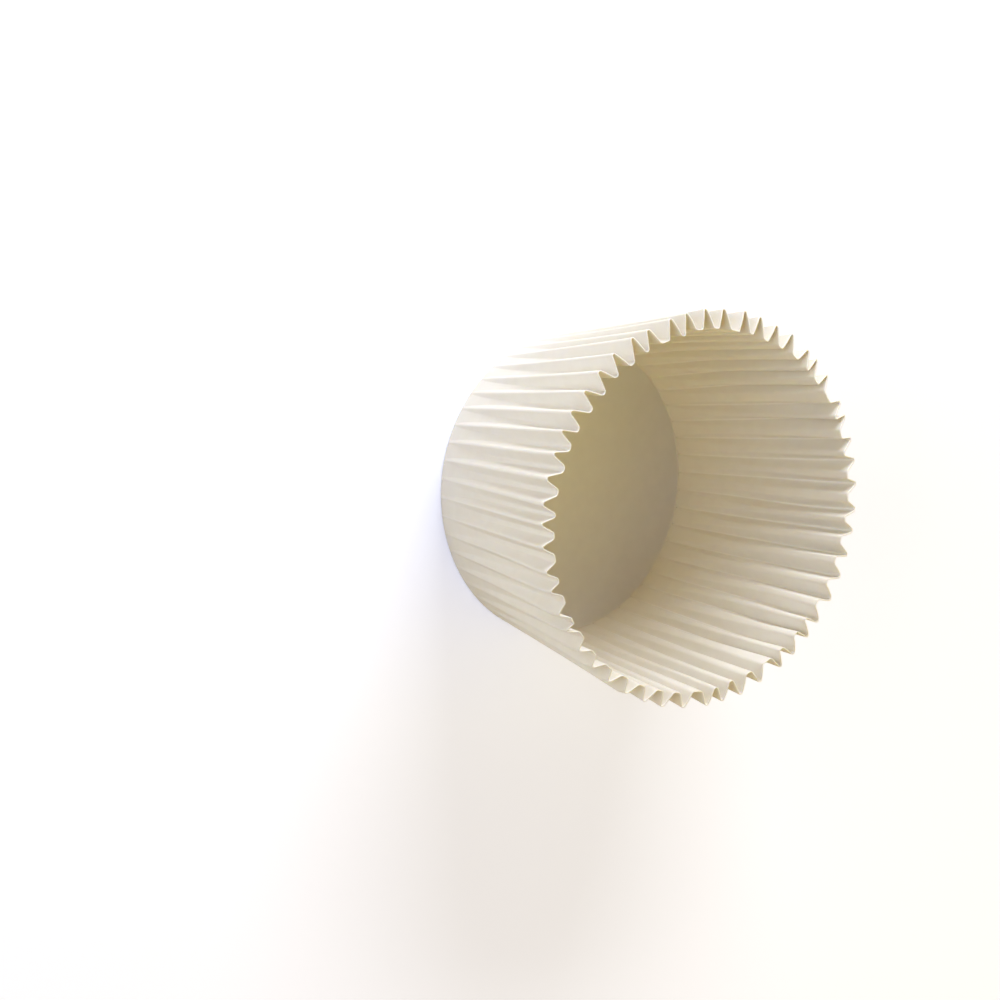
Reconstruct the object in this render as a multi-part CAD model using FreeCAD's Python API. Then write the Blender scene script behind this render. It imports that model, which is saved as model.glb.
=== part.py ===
"""A fluted paper baking cup: a flat round base and a flaring pleated wall.

The cup stands on its base. The origin is the middle of the underside of the
base and +Z points out of the mouth, along the axis of the cup.

The cup is pressed from one flat disc of paper. Its middle stays flat and the
rest is gathered into flutes. A flute starts at nothing on the base crease and
deepens as there is more paper to take up. Seen from above, half a flute is a
ridge face, a steep flank and a valley face, joined by rounded folds. Each of
these keeps its direction all the way up, so the wall is made of flat strips,
as folded paper is.
"""

import FreeCAD, Part
import math
import os

# Driving dimensions, in millimetres and degrees
BASE_DIAMETER = 50.0        # middle of the paper, across the crease of the base
WALL_LENGTH = 38.0          # up the slope of the wall, from the crease to the rim
RIM_DIAMETER = 62.2         # mean circle of the flutes at the rim
PAPER_THICKNESS = 0.12
FLUTE_COUNT = 52
FLUTE_DEPTH = 2.9           # from the outer ridge to the inner fold, at the rim
FLANK_ANGLE = 14.0          # between a flank and the radius through its ridge
RIDGE_WIDTH = 0.9           # across the outer ridge at the rim, over its two folds
OUTER_FOLD_RADIUS = 0.45    # the crisper folds on the outside, at the rim
INNER_FOLD_RADIUS = 0.8     # the softer folds on the inside, at the rim

# How finely the form is drawn
FOLD_STRIPS = 2             # flat strips round each fold
WALL_BANDS = 3              # bands up the wall, closer together near the crease

BASE_RADIUS = BASE_DIAMETER / 2
RIM_RADIUS = RIM_DIAMETER / 2
CUP_HEIGHT = math.sqrt(WALL_LENGTH**2 - (RIM_RADIUS - BASE_RADIUS)**2)
HALF_PITCH = math.pi / FLUTE_COUNT
FLANK = math.radians(FLANK_ANGLE)
HALF_PAPER = PAPER_THICKNESS / 2


def mean_radius(share):
    """Radius of the middle of the flutes at a share of the height."""
    return BASE_RADIUS + (RIM_RADIUS - BASE_RADIUS) * share


def gathered_depth(share):
    """Depth of plain zigzag flutes that take up all the paper at this height.

    The disc holds more paper at a distance from the crease than the wall has
    room for, and a flute is as deep as that surplus needs.
    """
    paper = HALF_PITCH * (BASE_RADIUS + WALL_LENGTH * share)
    room = HALF_PITCH * mean_radius(share)
    return math.sqrt(max(paper**2 - room**2, 0.0))


def growth(share):
    """How far a flute has grown at a share of the height: 0 crease, 1 rim."""
    return gathered_depth(share) / gathered_depth(1.0)


def half_flute(share, offset):
    """Points across half a flute, from its ridge to its valley.

    The ridge lies on the X axis. The points are those of the middle of the
    paper moved outward by the offset, which is negative on the inner skin.
    """
    grown = growth(share)
    ridge_radius = mean_radius(share) + FLUTE_DEPTH * grown / 2 + offset
    valley_radius = mean_radius(share) - FLUTE_DEPTH * grown / 2 + offset

    # The ridge face narrows as the flute grows
    flank_turn = math.pi / 2 - FLANK
    crease_width = (BASE_RADIUS + offset) * math.tan(HALF_PITCH / 2)
    rim_width = RIDGE_WIDTH / 2 + offset * math.tan(flank_turn / 2)
    ridge_corner = crease_width + (rim_width - crease_width) * grown

    # Where the flank from the ridge corner meets the valley face
    along = FreeCAD.Vector(-math.cos(FLANK), math.sin(FLANK), 0)
    valley_normal = FreeCAD.Vector(math.cos(HALF_PITCH), math.sin(HALF_PITCH), 0)
    start = FreeCAD.Vector(ridge_radius, ridge_corner, 0)
    length = (valley_radius - start.dot(valley_normal)) / along.dot(valley_normal)
    end = start + along * length

    ridge_fold = (OUTER_FOLD_RADIUS + offset) * grown
    valley_fold = (INNER_FOLD_RADIUS - offset) * grown
    return (
        fold(start, 0.0, flank_turn, ridge_fold)
        + fold(end, flank_turn, HALF_PITCH, valley_fold)
    )


def fold(corner, first, last, radius):
    """Points round a fold in place of a sharp corner.

    The paper's outward normal turns from the first angle to the last.
    """
    half_turn = (last - first) / 2
    middle = (first + last) / 2
    side = math.copysign(1.0, half_turn)
    reach = side * radius / math.cos(half_turn)
    centre = corner - FreeCAD.Vector(math.cos(middle), math.sin(middle), 0) * reach
    points = []
    for step in range(FOLD_STRIPS + 1):
        angle = first + (last - first) * step / FOLD_STRIPS
        normal = FreeCAD.Vector(math.cos(angle), math.sin(angle), 0)
        points.append(centre + normal * side * radius)
    return points


def ring(share, offset, bottom):
    """Points all round one skin of the wall, at a share of the way up from its bottom."""
    height = bottom + (CUP_HEIGHT - bottom) * share
    half = half_flute(share, offset)
    mirrored = [FreeCAD.Vector(p.x, -p.y, 0) for p in reversed(half)]
    points = []
    for number in range(FLUTE_COUNT):
        turn = FreeCAD.Rotation(FreeCAD.Vector(0, 0, 1), 360.0 * number / FLUTE_COUNT)
        for point in mirrored + half:
            points.append(turn.multVec(point) + FreeCAD.Vector(0, 0, height))
    return points


def outline(points):
    """A closed wire through points, taking those that coincide once."""
    kept = []
    for point in points:
        if not kept or not point.isEqual(kept[-1], 1e-6):
            kept.append(point)
    if kept[0].isEqual(kept[-1], 1e-6):
        kept.pop()
    return Part.makePolygon(kept + [kept[0]])


def wall_rings(offset, bottom):
    """Rings of points that bound the bands of one skin, up to the mean rim."""
    shares = [(number / WALL_BANDS)**2 for number in range(WALL_BANDS + 1)]
    return [ring(share, offset, bottom) for share in shares]


def rim_reach():
    """How far up the top band each line of the wall ends: 1 is the mean rim.

    The rim is the edge of the flat disc, so every line has the same length of
    paper, and the rim dips at the outer ridges, which lean out more.
    """
    reach = []
    for line in zip(*wall_rings(0.0, 0.0)):
        steps = [low.distanceToPoint(high) for low, high in zip(line, line[1:])]
        reach.append((WALL_LENGTH - sum(steps[:-1])) / steps[-1])
    return reach


def cut_to_rim(rings):
    """Rings with the top one moved along the lines of the wall to the rim."""
    below, top = rings[-2:]
    cut = [low + (high - low) * reach for low, high, reach in zip(below, top, rim_reach())]
    return rings[:-1] + [cut]


def band(lower, upper):
    """Flat strips that join two rings of points."""
    strips = []
    for index in range(len(lower)):
        after = (index + 1) % len(lower)
        corners = [lower[index], lower[after], upper[after], upper[index]]
        strips.append(Part.Face(outline(corners)))
    return strips


def cut_edge(outer, inner):
    """The narrow edge of the paper between the two skins, in small triangles."""
    facets = []
    for index in range(len(outer)):
        after = (index + 1) % len(outer)
        facets.append(Part.Face(outline([outer[index], outer[after], inner[after]])))
        facets.append(Part.Face(outline([outer[index], inner[after], inner[index]])))
    return facets


def liner():
    """The whole cup as one solid of paper."""
    outer = cut_to_rim(wall_rings(HALF_PAPER, 0.0))
    inner = cut_to_rim(wall_rings(-HALF_PAPER, PAPER_THICKNESS))
    faces = [Part.Face(outline(outer[0])), Part.Face(outline(inner[0]))]
    for rings in (outer, inner):
        for lower, upper in zip(rings, rings[1:]):
            faces += band(lower, upper)
    faces += cut_edge(outer[-1], inner[-1])
    shell = Part.makeShell(faces)
    shell.sewShape()
    solid = Part.makeSolid(shell)
    if solid.Volume < 0:
        solid.reverse()
    return solid


os.makedirs("parts", exist_ok=True)
cup = liner()
cup.exportStep("parts/liner.step")
print("liner", len(cup.Faces), "faces, valid", cup.isValid(), "volume", round(cup.Volume, 1))
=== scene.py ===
"""A white fluted paper baking cup, standing on its base and seen into its mouth."""

import logging
import math
import random
from dataclasses import dataclass, field
from enum import Enum

import bmesh
import bpy
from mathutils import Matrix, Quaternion, Vector


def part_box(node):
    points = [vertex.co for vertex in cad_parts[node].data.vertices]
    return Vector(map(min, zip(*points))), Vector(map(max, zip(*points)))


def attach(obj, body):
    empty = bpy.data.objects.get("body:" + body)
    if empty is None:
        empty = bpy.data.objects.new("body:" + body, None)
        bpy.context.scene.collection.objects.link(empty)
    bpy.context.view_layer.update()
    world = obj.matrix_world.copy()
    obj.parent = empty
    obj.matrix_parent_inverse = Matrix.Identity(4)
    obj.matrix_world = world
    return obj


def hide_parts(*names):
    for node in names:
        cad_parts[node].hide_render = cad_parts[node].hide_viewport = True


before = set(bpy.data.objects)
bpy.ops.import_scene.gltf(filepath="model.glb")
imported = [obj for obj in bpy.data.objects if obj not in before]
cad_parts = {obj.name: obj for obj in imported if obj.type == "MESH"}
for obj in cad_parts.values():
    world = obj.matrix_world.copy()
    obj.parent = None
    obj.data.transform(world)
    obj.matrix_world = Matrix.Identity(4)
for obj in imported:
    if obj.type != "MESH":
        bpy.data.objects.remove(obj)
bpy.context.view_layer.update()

LOG = logging.getLogger("baking_cup")
NODE = "liner"
TURN = 2 * math.pi

Tree = bpy.types.NodeTree
Socket = bpy.types.NodeSocket

# How much one flute differs from the next, as a share of its pitch or of its depth
RIDGE_SPREAD = 0.09
VALLEY_SPREAD = 0.06
DEPTH_SPREAD = 0.08
WANDER_SPREAD = 0.05


class Fold(Enum):
    """The two kinds of fold that follow each other round the wall."""

    RIDGE = "outer ridge"
    VALLEY = "inner fold"


@dataclass(frozen=True)
class Sway:
    """A slow unevenness round the cup: some waves, their amount and where they peak."""

    waves: int
    amount: float
    peak_deg: float

    def at(self, angle: float) -> float:
        """Value of the sway.

        Args:
            angle: Angle round the cup, in radians.

        Returns:
            The amount that the sway adds there.
        """
        return self.amount * math.cos(self.waves * (angle - math.radians(self.peak_deg)))


def total(sways: tuple[Sway, ...], angle: float) -> float:
    """Sum of several sways.

    Args:
        sways: Sways to add up.
        angle: Angle round the cup, in radians.

    Returns:
        What they add together.
    """
    return sum(sway.at(angle) for sway in sways)


def polar(angle: float, radius: float, height: float) -> Vector:
    """Point by its place round the axis of the cup.

    Args:
        angle: Angle round the cup, in radians.
        radius: Distance from the axis.
        height: Height above the floor.

    Returns:
        The point.
    """
    return Vector((radius * math.cos(angle), radius * math.sin(angle), height))


@dataclass(frozen=True)
class HalfFlute:
    """Cross-section from an outer ridge to the middle of the inner fold beside it.

    The paper turns at the ridge, runs straight down the flank, turns again and ends in
    a face that is a little hollow. Up to the full depth, a shallower flute has a flatter
    flank, by the power called steepening. The folds get smaller where they would
    take more than their share of the depth, and the face keeps at least its share of the width.
    """

    flank_deg: float = 67.0
    hollow_deg: float = 4.0
    full_depth: float = 0.0026
    ridge_radius: float = 0.00043
    fold_radius: float = 0.00058
    steepening: float = 0.42
    folded_share: float = 0.75
    least_face: float = 0.05
    ridge_steps: int = 3
    flank_steps: int = 3
    fold_steps: int = 4
    face_steps: int = 2

    @property
    def steps(self) -> int:
        """Steps from the ridge to the middle of the inner fold."""
        return self.ridge_steps + self.flank_steps + self.fold_steps + self.face_steps

    def across(self, run: float, rise: float) -> list[tuple[float, float]]:
        """Follow the paper from the ridge to the inner fold.

        Args:
            run: Width of half the flute.
            rise: Depth of the flute.

        Returns:
            The shares of the run and of the rise that each step has covered.
        """
        grown = min(1.0, rise / self.full_depth) ** self.steepening
        flank = math.radians(self.flank_deg) * grown
        hollow = math.radians(self.hollow_deg) * grown
        turned = (self.ridge_radius + self.fold_radius) * (1 - math.cos(flank))
        shrink = min(1.0, self.folded_share * rise / turned)
        ridge, fold = self.ridge_radius * shrink, self.fold_radius * shrink
        straight = (rise - turned * shrink) / math.sin(flank)
        used = (ridge + fold) * math.sin(flank) + straight * math.cos(flank)
        face = max(run - used, self.least_face * run)
        stretches = (
            (ridge * flank, 0.0, flank, self.ridge_steps),
            (straight, flank, flank, self.flank_steps),
            (fold * (flank - hollow), flank, hollow, self.fold_steps),
            (face, hollow, 0.0, self.face_steps),
        )
        x, y = 0.0, 0.0
        points = [(x, y)]
        for length, first, last, steps in stretches:
            for step in range(steps):
                slope = first + (last - first) * (step + 0.5) / steps
                x += length / steps * math.cos(slope)
                y += length / steps * math.sin(slope)
                points.append((x, y))
        return [(across / x, down / y) for across, down in points]


@dataclass
class Flute:
    """How one flute came out of the press, against its neighbours."""

    ridge_shift: float
    valley_shift: float
    ridge_depth: float
    valley_depth: float
    wander: float
    wander_start: float

    @classmethod
    def pressed(cls, dice: random.Random) -> "Flute":
        """Draw the differences of one flute.

        Args:
            dice: Seeded source of chance.

        Returns:
            The flute.
        """
        return cls(
            ridge_shift=dice.gauss(0, RIDGE_SPREAD),
            valley_shift=dice.gauss(0, VALLEY_SPREAD),
            ridge_depth=1 + dice.gauss(0, DEPTH_SPREAD),
            valley_depth=1 + dice.gauss(0, DEPTH_SPREAD),
            wander=dice.gauss(0, WANDER_SPREAD),
            wander_start=dice.uniform(0, TURN),
        )


@dataclass(frozen=True)
class PaperFinish:
    """Bleached baking paper: matt, fine grained, a little cloudy, and light shines through.

    The creases of the wall fade in from the base's edge to the radius called
    creased_from, which is counted in radii of the base.
    """

    name: str = "white_paper"
    sheet: tuple[float, float, float] = (0.80, 0.772, 0.714)
    cloud: tuple[float, float, float] = (0.86, 0.833, 0.774)
    highlit_paper: tuple[float, float, float] = (0.93, 0.92, 0.89)
    # Colour of the painted highlight on the outer ridges and the cut edge of the rim
    roughness: float = 0.62
    gloss: float = 0.3
    see_through: float = 0.4
    light_colour: tuple[float, float, float] = (1.0, 0.78, 0.45)
    light_reach: float = 0.0004
    blank_diameter: float = 0.126
    base_radius: float = 0.025
    clouds_per_metre: float = 420.0
    fibres_per_metre: float = 6000.0
    creases_per_radian: float = 42.0
    creases_per_metre: float = 60.0
    cloud_detail: float = 4.0
    fibre_detail: float = 5.0
    crease_detail: float = 3.0
    creased_from: float = 1.3
    fibre_relief: float = 0.000010
    crease_relief: float = 0.000045

    def material(self) -> bpy.types.Material:
        """Build the node material, which follows the flat sheet that the cup was cut from.

        Returns:
            The material.
        """
        material = bpy.data.materials.new(self.name)
        material.use_nodes = True
        tree = material.node_tree
        shader = tree.nodes["Principled BSDF"]
        shader.inputs["Roughness"].default_value = self.roughness
        shader.inputs["Specular IOR Level"].default_value = self.gloss
        shader.inputs["Subsurface Weight"].default_value = self.see_through
        shader.inputs["Subsurface Radius"].default_value = self.light_colour
        shader.inputs["Subsurface Scale"].default_value = self.light_reach
        place = self._place_on_sheet(tree)
        tree.links.new(self._colour(tree, place), shader.inputs["Base Color"])
        tree.links.new(self._relief(tree, place), shader.inputs["Normal"])
        return material

    def _place_on_sheet(self, tree: Tree) -> Socket:
        """Place on the flat sheet.

        Args:
            tree: Nodes of the material.

        Returns:
            The place, in metres from the middle of the sheet.
        """
        sheet = tree.nodes.new("ShaderNodeUVMap")
        sheet.uv_map = "blank"
        centred = tree.nodes.new("ShaderNodeMapping")
        centred.inputs["Location"].default_value = [-self.blank_diameter / 2] * 2 + [0.0]
        centred.inputs["Scale"].default_value = [self.blank_diameter] * 2 + [1.0]
        tree.links.new(sheet.outputs["UV"], centred.inputs["Vector"])
        return centred.outputs["Vector"]

    def _colour(self, tree: Tree, place: Socket) -> Socket:
        """Cloudy paper, with a pale highlight painted on the outer ridges and along the cut edge.

        Args:
            tree: Nodes of the material.
            place: Place on the flat sheet.

        Returns:
            The colour.
        """
        clouds = self._noise(tree, place, self.clouds_per_metre, self.cloud_detail)
        tone = self._mix(tree, clouds)
        tone.inputs["A"].default_value = (*self.sheet, 1.0)
        tone.inputs["B"].default_value = (*self.cloud, 1.0)
        # Painted highlight: the paper is made paler on the outer ridges and along the cut edge,
        # where light catches them
        painted_highlight = tree.nodes.new("ShaderNodeAttribute")
        painted_highlight.attribute_name = "painted_highlight"
        highlit_paper = self._mix(tree, painted_highlight.outputs["Fac"])
        highlit_paper.inputs["B"].default_value = (*self.highlit_paper, 1.0)
        tree.links.new(tone.outputs["Result"], highlit_paper.inputs["A"])
        return highlit_paper.outputs["Result"]

    def _relief(self, tree: Tree, place: Socket) -> Socket:
        """Fibres all over, and the fine creases that run up the wall.

        Args:
            tree: Nodes of the material.
            place: Place on the flat sheet.

        Returns:
            The direction that the surface faces.
        """
        fibres = self._noise(tree, place, self.fibres_per_metre, self.fibre_detail)
        grain = self._bump(tree, fibres, self.fibre_relief)

        outward = self._vector_math(tree, "NORMALIZE", place)
        spread = self._vector_math(tree, "SCALE", outward.outputs["Vector"])
        spread.inputs["Scale"].default_value = self.creases_per_radian
        radius = self._vector_math(tree, "LENGTH", place)
        upward = tree.nodes.new("ShaderNodeCombineXYZ")
        along = tree.nodes.new("ShaderNodeMath")
        along.operation = "MULTIPLY"
        along.inputs[1].default_value = self.creases_per_metre
        tree.links.new(radius.outputs["Value"], along.inputs[0])
        tree.links.new(along.outputs["Value"], upward.inputs["Z"])
        crease_place = self._vector_math(tree, "ADD", spread.outputs["Vector"])
        tree.links.new(upward.outputs["Vector"], crease_place.inputs[1])
        creases = self._noise(tree, crease_place.outputs["Vector"], 1.0, self.crease_detail)

        on_wall = tree.nodes.new("ShaderNodeMapRange")
        on_wall.interpolation_type = "SMOOTHSTEP"
        on_wall.inputs["From Min"].default_value = self.base_radius
        on_wall.inputs["From Max"].default_value = self.base_radius * self.creased_from
        tree.links.new(radius.outputs["Value"], on_wall.inputs["Value"])
        pressed = self._bump(tree, creases, self.crease_relief)
        tree.links.new(on_wall.outputs["Result"], pressed.inputs["Strength"])
        tree.links.new(grain.outputs["Normal"], pressed.inputs["Normal"])
        return pressed.outputs["Normal"]

    @staticmethod
    def _noise(tree: Tree, place: Socket, scale: float, detail: float) -> Socket:
        """Noise at a place.

        Args:
            tree: Nodes of the material.
            place: Place that the noise is read at.
            scale: Its grains in a unit of length.
            detail: How many finer layers it has.

        Returns:
            The noise, from 0 to 1.
        """
        noise = tree.nodes.new("ShaderNodeTexNoise")
        noise.inputs["Scale"].default_value = scale
        noise.inputs["Detail"].default_value = detail
        tree.links.new(place, noise.inputs["Vector"])
        return noise.outputs["Fac"]

    @staticmethod
    def _mix(tree: Tree, factor: Socket) -> bpy.types.Node:
        """Mix of two colours.

        Args:
            tree: Nodes of the material.
            factor: Share of the second colour.

        Returns:
            The node, with its colours still to be given.
        """
        mix = tree.nodes.new("ShaderNodeMix")
        mix.data_type = "RGBA"
        tree.links.new(factor, mix.inputs["Factor"])
        return mix

    @staticmethod
    def _bump(tree: Tree, height: Socket, depth: float) -> bpy.types.Node:
        """Relief of a real depth.

        Args:
            tree: Nodes of the material.
            height: Height of the relief, from 0 to 1.
            depth: Its depth in metres.

        Returns:
            The node.
        """
        bump = tree.nodes.new("ShaderNodeBump")
        bump.inputs["Strength"].default_value = 1.0
        bump.inputs["Distance"].default_value = depth
        tree.links.new(height, bump.inputs["Height"])
        return bump

    @staticmethod
    def _vector_math(tree: Tree, operation: str, vector: Socket) -> bpy.types.Node:
        """Calculation with a vector.

        Args:
            tree: Nodes of the material.
            operation: Name of the calculation.
            vector: Its first input.

        Returns:
            The node.
        """
        node = tree.nodes.new("ShaderNodeVectorMath")
        node.operation = operation
        tree.links.new(vector, node.inputs[0])
        return node


@dataclass
class BakingCup:
    """The cup: a flat disc of paper whose outer part is pressed into flutes.

    Lengths are in metres. The clearance is the part of the paper's thickness that the
    middle of the sheet keeps below the top of the solid, and the painted highlight is counted from
    0 to 1.
    """

    name: str = "paper_cup"
    base_radius: float = 0.0250
    wall_length: float = 0.0379
    rim_radius: float = 0.03092
    flute_count: int = 52
    flute_depth: float = 0.0026
    slow_start: float = 1.7
    wander_turn: float = 5.0
    ridge_dip: float = 0.0003
    dip_power: int = 3
    least_slope: float = 0.25
    paper: float = 0.00018
    clearance: float = 0.51
    crease_bend: float = 0.0003
    crease_segments: int = 3
    cut_band: float = 0.00022
    rows: int = 24
    row_crowding: float = 1.5
    disc_rings: int = 4
    # Painted highlight: how pale the outer ridges are painted, over how many columns, and how fast
    # it grows up from the crease
    ridge_highlight: float = 0.55
    highlight_columns: int = 2
    highlight_growth: float = 6.0
    seed: int = 11
    half_flute: HalfFlute = HalfFlute()
    finish: PaperFinish = PaperFinish()
    lean: tuple[Sway, ...] = (Sway(1, 0.0156, 3.0), Sway(2, 0.0243, -53.0))
    depth_sway: tuple[Sway, ...] = (Sway(1, 0.15, 163.0), Sway(2, 0.165, 29.5))
    ridge_sway: tuple[Sway, ...] = (
        Sway(1, 0.0120, 130.5),
        Sway(2, 0.0221, 69.0),
        Sway(3, 0.009, 16.6),
    )
    valley_sway: tuple[Sway, ...] = (
        Sway(1, 0.0070, 52.0),
        Sway(2, 0.0303, 78.0),
        Sway(3, 0.0055, 11.0),
    )
    flutes: list[Flute] = field(init=False)
    reach: float = field(init=False)
    top: float = field(init=False)

    def __post_init__(self) -> None:
        """Draw the flutes, and take from the solid how far the paper may stand."""
        dice = random.Random(self.seed)
        self.flutes = [Flute.pressed(dice) for _ in range(self.flute_count)]
        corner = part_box(NODE)[1]
        self.reach = corner.x - self.paper / 2
        self.top = corner.z - self.paper * self.clearance

    @property
    def columns(self) -> int:
        """Lines of vertices round the wall."""
        return self.flute_count * self.half_flute.steps * 2

    @property
    def shares(self) -> list[float]:
        """Rows up the wall, as shares of its length, closer together near the crease."""
        rim_band = 1 - self.cut_band / self.wall_length
        spread = [(row / self.rows) ** self.row_crowding for row in range(1, self.rows)]
        return [0.0] + [share for share in spread if share < rim_band] + [rim_band, 1.0]

    def build(self) -> bpy.types.Object:
        """Model the cup in paper and dress it.

        Returns:
            The finished piece.
        """
        cup = bmesh.new()
        cup.verts.layers.float.new("painted_highlight")
        cup.loops.layers.uv.new("blank")
        rings = self._plain_cup(cup)
        self._mark_sheet(cup, rings)
        for share, ring in zip(self.shares, rings):
            self._press(ring, share)
        self._round_crease(cup, rings[0])
        bmesh.ops.recalc_face_normals(cup, faces=cup.faces)
        mesh = bpy.data.meshes.new(self.name)
        cup.to_mesh(mesh)
        cup.free()
        mesh.shade_smooth()
        mesh.materials.append(self.finish.material())
        piece = bpy.data.objects.new(self.name, mesh)
        bpy.context.scene.collection.objects.link(piece)
        self._thicken(piece)
        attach(piece, "root")
        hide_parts(NODE)
        LOG.info("%s: %d flutes, %d faces a side", self.name, self.flute_count, len(mesh.polygons))
        return piece

    def _plain_cup(self, cup: bmesh.types.BMesh) -> list[list[bmesh.types.BMVert]]:
        """Draw a disc with a plain cone round it, as before the press closes.

        Args:
            cup: Mesh to draw in.

        Returns:
            The rings of the wall from the crease to the rim, each in order of angle.
        """
        bmesh.ops.create_circle(cup, segments=self.columns, radius=self.base_radius)
        bmesh.ops.translate(cup, vec=(0, 0, self.paper / 2), verts=cup.verts)
        crease = list(cup.edges)
        rings = [self._in_order(cup.verts)]
        edges = crease
        for share in self.shares[1:]:
            edges, ring = self._pull_ring(cup, edges)
            for vert in ring:
                vert.co = self._plain_point(self._turn(vert.co), share)
            rings.append(self._in_order(ring))
        edges = crease
        for step in range(1, self.disc_rings):
            edges, ring = self._pull_ring(cup, edges)
            shrink = 1 - 1 / (self.disc_rings + 1 - step)
            bmesh.ops.scale(cup, vec=(shrink, shrink, 1.0), verts=ring)
        bmesh.ops.edgeloop_fill(cup, edges=edges)
        return rings

    @staticmethod
    def _pull_ring(
        cup: bmesh.types.BMesh, edges: list[bmesh.types.BMEdge]
    ) -> tuple[list[bmesh.types.BMEdge], list[bmesh.types.BMVert]]:
        """Extrude a loop of edges.

        Args:
            cup: Mesh that is drawn.
            edges: Closed loop to pull from.

        Returns:
            The edges and the vertices of the new loop.
        """
        grown = bmesh.ops.extrude_edge_only(cup, edges=edges)["geom"]
        ring = [item for item in grown if isinstance(item, bmesh.types.BMVert)]
        inside = set(ring)
        loop = [
            item
            for item in grown
            if isinstance(item, bmesh.types.BMEdge) and inside.issuperset(item.verts)
        ]
        return loop, ring

    @staticmethod
    def _turn(point: Vector) -> float:
        """Angle of a point round the cup.

        Args:
            point: Point to look at.

        Returns:
            The angle in radians, from 0 to a full turn.
        """
        return math.atan2(point.y, point.x) % TURN

    def _in_order(self, verts: list[bmesh.types.BMVert]) -> list[bmesh.types.BMVert]:
        """Sort the vertices of a ring.

        Args:
            verts: Vertices in any order.

        Returns:
            The vertices by their column round the cup.
        """

        def column(vert: bmesh.types.BMVert) -> int:
            """Column of a vertex, counted from the one on the X axis."""
            return round(self._turn(vert.co) / TURN * self.columns) % self.columns

        return sorted(verts, key=column)

    def _plain_point(self, angle: float, share: float) -> Vector:
        """Point of the plain cone.

        Args:
            angle: Angle round the cup, in radians.
            share: Share of the wall's length below.

        Returns:
            The point.
        """
        radius = self.base_radius + (self.rim_radius - self.base_radius) * share
        return polar(angle, radius, self._height(radius, share))

    def _height(self, radius: float, share: float) -> float:
        """Height of a point of the wall, where every line up it is equally long.

        Args:
            radius: Distance of the point from the axis.
            share: Share of the wall's length below.

        Returns:
            The height, which stays under the top of the solid.
        """
        slope = self.wall_length * share
        outward = radius - self.base_radius
        height = self.paper / 2 + math.sqrt(max(slope**2 - outward**2, self.least_slope * slope**2))
        return min(height, self.top)

    def _growth(self, share: float) -> float:
        """How far the flutes have grown.

        Args:
            share: Share of the wall's length below.

        Returns:
            0 at the crease and 1 at the rim.
        """

        def surplus(at: float) -> float:
            """Paper left over by the room that the wall has for it."""
            paper = self.base_radius + self.wall_length * at
            room = self.base_radius + (self.rim_radius - self.base_radius) * at
            return math.sqrt(max(paper**2 - room**2, 0.0))

        return (surplus(share) / surplus(1.0)) ** self.slow_start

    def _mark_sheet(
        self, cup: bmesh.types.BMesh, rings: list[list[bmesh.types.BMVert]]
    ) -> None:
        """Lay the flat sheet's map on the cup, and mark where a pale highlight is painted on its
        paper.

        Args:
            cup: Mesh of the plain cup.
            rings: Rings of the wall.
        """
        painted_highlight = cup.verts.layers.float["painted_highlight"]
        flat = {vert: vert.co.xy for vert in cup.verts}
        for share, ring in zip(self.shares, rings):
            for column, vert in enumerate(ring):
                radius = self.base_radius + self.wall_length * share
                angle = TURN * column / self.columns
                flat[vert] = Vector((math.cos(angle), math.sin(angle))) * radius
                vert[painted_highlight] = self._highlight_at(column, share)
        # Painted highlight at full strength along the cut edge of the rim
        for vert in rings[-1]:
            vert[painted_highlight] = 1.0
        blank = cup.loops.layers.uv["blank"]
        for face in cup.faces:
            for loop in face.loops:
                loop[blank].uv = flat[loop.vert] / self.finish.blank_diameter + Vector((0.5, 0.5))

    def _highlight_at(self, column: int, share: float) -> float:
        """How strongly a pale highlight is painted on the paper.

        Args:
            column: Column round the cup, the first on an outer ridge.
            share: Share of the wall's length below.

        Returns:
            The painted highlight, which is greatest on the ridges.
        """
        steps = self.half_flute.steps
        from_ridge = abs((column + steps) % (2 * steps) - steps)
        near = max(0.0, 1 - from_ridge / self.highlight_columns)
        return self.ridge_highlight * near * min(1.0, share * self.highlight_growth)

    def _press(self, ring: list[bmesh.types.BMVert], share: float) -> None:
        """Press one ring of the wall into flutes.

        Args:
            ring: Vertices in order of angle, the first on an outer ridge.
            share: Share of the wall's length that lies below the ring.
        """
        if share == 0:
            return
        steps = self.half_flute.steps
        for number in range(self.flute_count):
            ridge = self._fold_at(number, Fold.RIDGE, share)
            valley = self._fold_at(number, Fold.VALLEY, share)
            after = self._fold_at(number + 1, Fold.RIDGE, share)
            first = number * 2 * steps
            down = self._flank(ridge, valley, share)
            up = self._flank(after, valley, share)
            for place, point in enumerate(down + up[-2:0:-1]):
                ring[first + place].co = point

    def _fold_at(self, number: int, fold: Fold, share: float) -> tuple[float, float]:
        """Where a fold passes.

        Args:
            number: Flute, counted round the cup.
            fold: Its outer ridge, or the inner fold after it.
            share: Share of the wall's length below.

        Returns:
            The angle and the radius of the fold.
        """
        flute = self.flutes[number % self.flute_count]
        pitch = TURN / self.flute_count
        if fold is Fold.RIDGE:
            plain, side, sways = pitch * number, 1, self.ridge_sway
            shift, depth = flute.ridge_shift, flute.ridge_depth
        else:
            plain, side, sways = pitch * (number + 0.5), -1, self.valley_sway
            shift, depth = flute.valley_shift, flute.valley_depth
        wander = flute.wander * math.sin(flute.wander_start + self.wander_turn * share)
        angle = plain + (pitch * (shift + wander) + total(sways, plain)) * share
        lean = 1 + total(self.lean, plain)
        mean = self.base_radius + (self.rim_radius * lean - self.base_radius) * share
        depth *= self.flute_depth * (1 + total(self.depth_sway, plain)) * self._growth(share)
        return angle, min(mean + side * depth / 2, self.reach)

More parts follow.
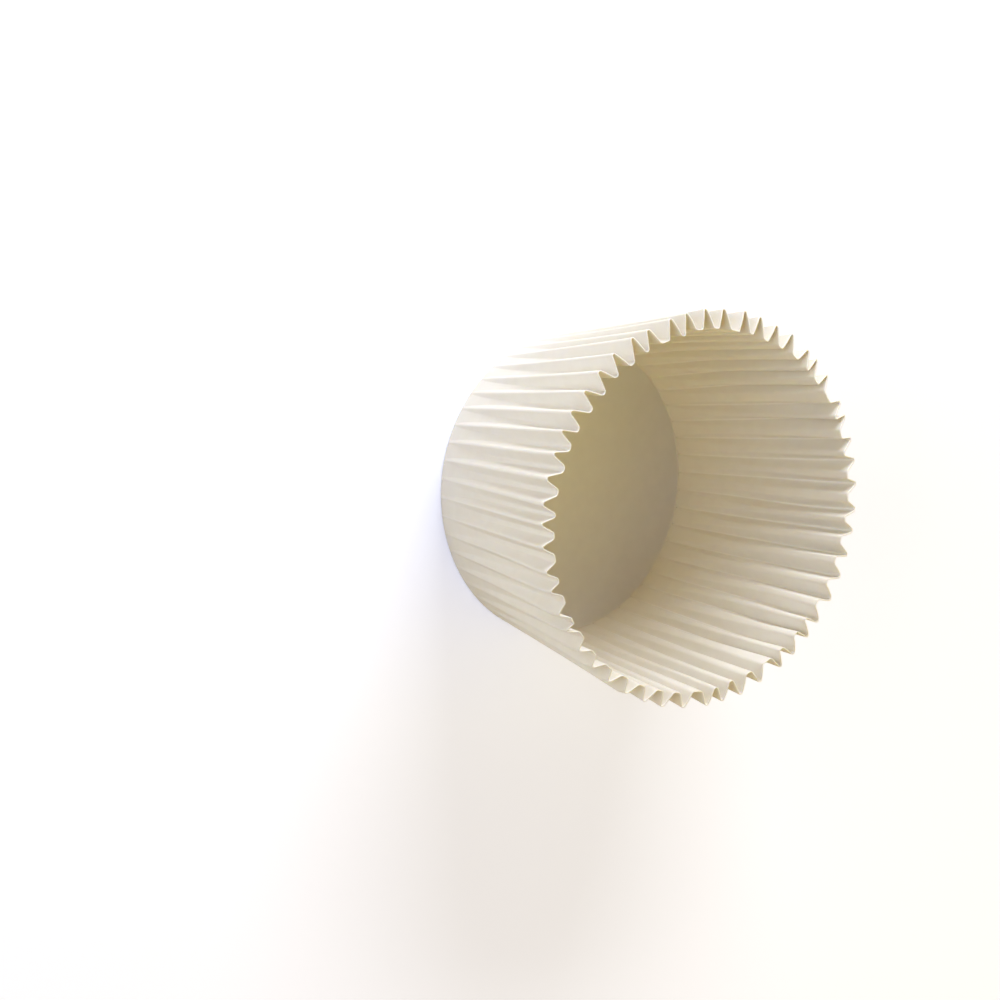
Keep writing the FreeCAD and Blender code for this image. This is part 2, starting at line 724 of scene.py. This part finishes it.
    def _flank(
        self, ridge: tuple[float, float], valley: tuple[float, float], share: float
    ) -> list[Vector]:
        """Points from a ridge to the valley beside it.

        Args:
            ridge: Angle and radius of the ridge.
            valley: Angle and radius of the valley.
            share: Share of the wall's length below.

        Returns:
            The points, with the ridge first.
        """
        run = abs(valley[0] - ridge[0]) * (ridge[1] + valley[1]) / 2
        rise = ridge[1] - valley[1]
        points = []
        for across, down in self.half_flute.across(run, rise):
            angle = ridge[0] + (valley[0] - ridge[0]) * across
            radius = ridge[1] - rise * down
            dip = self.ridge_dip * (1 - down) * share**self.dip_power
            points.append(polar(angle, radius, self._height(radius, share) - dip))
        return points

    def _round_crease(
        self, cup: bmesh.types.BMesh, crease: list[bmesh.types.BMVert]
    ) -> None:
        """Round the fold between the base and the wall.

        Args:
            cup: Mesh of the pressed cup.
            crease: Vertices of the fold.
        """
        on_crease = set(crease)
        edges = [edge for edge in cup.edges if on_crease.issuperset(edge.verts)]
        bmesh.ops.bevel(
            cup,
            geom=edges,
            offset=self.crease_bend,
            offset_type="OFFSET",
            affect="EDGES",
            segments=self.crease_segments,
            profile=0.5,
            material=-1,
        )

    def _thicken(self, piece: bpy.types.Object) -> None:
        """Give the sheet the thickness of its paper.

        Args:
            piece: The cup as a sheet without thickness.
        """
        solidify = piece.modifiers.new("paper", "SOLIDIFY")
        solidify.thickness = self.paper
        solidify.offset = 0.0
        solidify.use_even_offset = False


@dataclass(frozen=True)
class Lamp:
    """A soft square lamp that faces the cup."""

    name: str
    direction: tuple[float, float, float]
    strength: float
    colour: tuple[float, float, float]
    size: float
    distance: float = 0.7

    def hang(self, target: Vector) -> None:
        """Hang the lamp.

        The strength is the brightness that a white sheet at the target has when it
        faces the lamp.

        Args:
            target: Point that the lamp faces.
        """
        light = bpy.data.lights.new(self.name, "AREA")
        light.size = self.size
        light.color = self.colour
        light.energy = self.strength * math.pi**2 * self.distance**2
        lamp = bpy.data.objects.new(self.name, light)
        toward = Vector(self.direction).normalized()
        lamp.location = target + toward * self.distance
        lamp.rotation_mode = "QUATERNION"
        lamp.rotation_quaternion = toward.to_track_quat("Z", "Y")
        bpy.context.scene.collection.objects.link(lamp)


@dataclass(frozen=True)
class Studio:
    """White floor, soft light and a camera fitted to the view of the photograph."""

    camera_place: tuple[float, float, float] = (0.01197016, -0.40990109, 0.51816670)
    camera_aim: tuple[float, float, float] = (0.00489, -0.02656, 0.0188)
    camera_roll_deg: float = 99.74
    lens: float = 142.57
    sensor_width: float = 36.0
    lit_point: tuple[float, float, float] = (0.0, 0.0, 0.02)
    floor_radius: float = 3.0
    floor_segments: int = 96
    floor_roughness: float = 0.9
    floor_tone: float = 0.8
    floor_lift: tuple[float, float, float] = (0.34, 0.38, 0.52)
    sky: tuple[float, float, float] = (0.22, 0.12, 0.03)
    lamps: tuple[Lamp, ...] = (
        Lamp("key_lamp", (-0.91, -0.10, 0.38), 1.08, (0.87, 0.915, 1.0), 0.42),
        Lamp("side_lamp", (0.1, -0.95, 0.30), 0.56, (0.77, 0.875, 1.0), 0.6),
        Lamp("back_lamp", (0.3, 0.6, 0.74), 0.51, (1.0, 0.90, 0.36), 0.75),
    )

    def build(self) -> None:
        """Set up the floor, the sky, the lamps and the camera."""
        self._floor()
        self._sky()
        for lamp in self.lamps:
            lamp.hang(Vector(self.lit_point))
        self._camera()

    def _floor(self) -> None:
        """Lay a white floor that keeps the shadow of the cup."""
        plan = bmesh.new()
        bmesh.ops.create_circle(
            plan, cap_ends=True, segments=self.floor_segments, radius=self.floor_radius
        )
        mesh = bpy.data.meshes.new("studio_floor")
        plan.to_mesh(mesh)
        plan.free()
        floor = bpy.data.objects.new("studio_floor", mesh)
        bpy.context.scene.collection.objects.link(floor)
        material = bpy.data.materials.new("studio_floor")
        material.use_nodes = True
        tree = material.node_tree
        shader = tree.nodes["Principled BSDF"]
        shader.inputs["Base Color"].default_value = (*[self.floor_tone] * 3, 1.0)
        shader.inputs["Roughness"].default_value = self.floor_roughness
        shader.inputs["Specular IOR Level"].default_value = 0.0
        shader.inputs["Emission Color"].default_value = (*self.floor_lift, 1.0)
        tree.links.new(self._seen(tree), shader.inputs["Emission Strength"])
        mesh.materials.append(material)

    def _sky(self) -> None:
        """Light the room dimly and show it white."""
        world = bpy.data.worlds.new("studio_sky")
        world.use_nodes = True
        tree = world.node_tree
        shader = tree.nodes["Background"]
        mix = tree.nodes.new("ShaderNodeMix")
        mix.data_type = "RGBA"
        mix.inputs["A"].default_value = (*self.sky, 1.0)
        mix.inputs["B"].default_value = (1.0, 1.0, 1.0, 1.0)
        tree.links.new(self._seen(tree), mix.inputs["Factor"])
        tree.links.new(mix.outputs["Result"], shader.inputs["Color"])
        bpy.context.scene.world = world

    @staticmethod
    def _seen(tree: Tree) -> Socket:
        """Tell what is looked at from what only gives light.

        Args:
            tree: Nodes of the material or the sky.

        Returns:
            1 for what is seen, straight or in a gloss or through glass, and 0 for its light.
        """
        path = tree.nodes.new("ShaderNodeLightPath")
        gloss = tree.nodes.new("ShaderNodeMath")
        gloss.operation = "MAXIMUM"
        glass = tree.nodes.new("ShaderNodeMath")
        glass.operation = "MAXIMUM"
        tree.links.new(path.outputs["Is Camera Ray"], gloss.inputs[0])
        tree.links.new(path.outputs["Is Glossy Ray"], gloss.inputs[1])
        tree.links.new(gloss.outputs["Value"], glass.inputs[0])
        tree.links.new(path.outputs["Is Transmission Ray"], glass.inputs[1])
        return glass.outputs["Value"]

    def _camera(self) -> None:
        """Place the camera and turn it as the photograph's was turned against the cup."""
        data = bpy.data.cameras.new("camera")
        data.lens = self.lens
        data.sensor_width = self.sensor_width
        camera = bpy.data.objects.new("camera", data)
        camera.location = self.camera_place
        look = Vector(self.camera_aim) - Vector(self.camera_place)
        roll = Quaternion((0, 0, 1), math.radians(self.camera_roll_deg))
        camera.rotation_mode = "QUATERNION"
        camera.rotation_quaternion = look.to_track_quat("-Z", "Y") @ roll
        bpy.context.scene.collection.objects.link(camera)
        bpy.context.scene.camera = camera


def main() -> None:
    """Make the cup and the studio round it."""
    logging.basicConfig(level=logging.INFO, format="%(name)s: %(message)s")
    bpy.context.scene.view_settings.view_transform = "Standard"
    Studio().build()
    BakingCup().build()


if __name__ == "__main__":
    main()
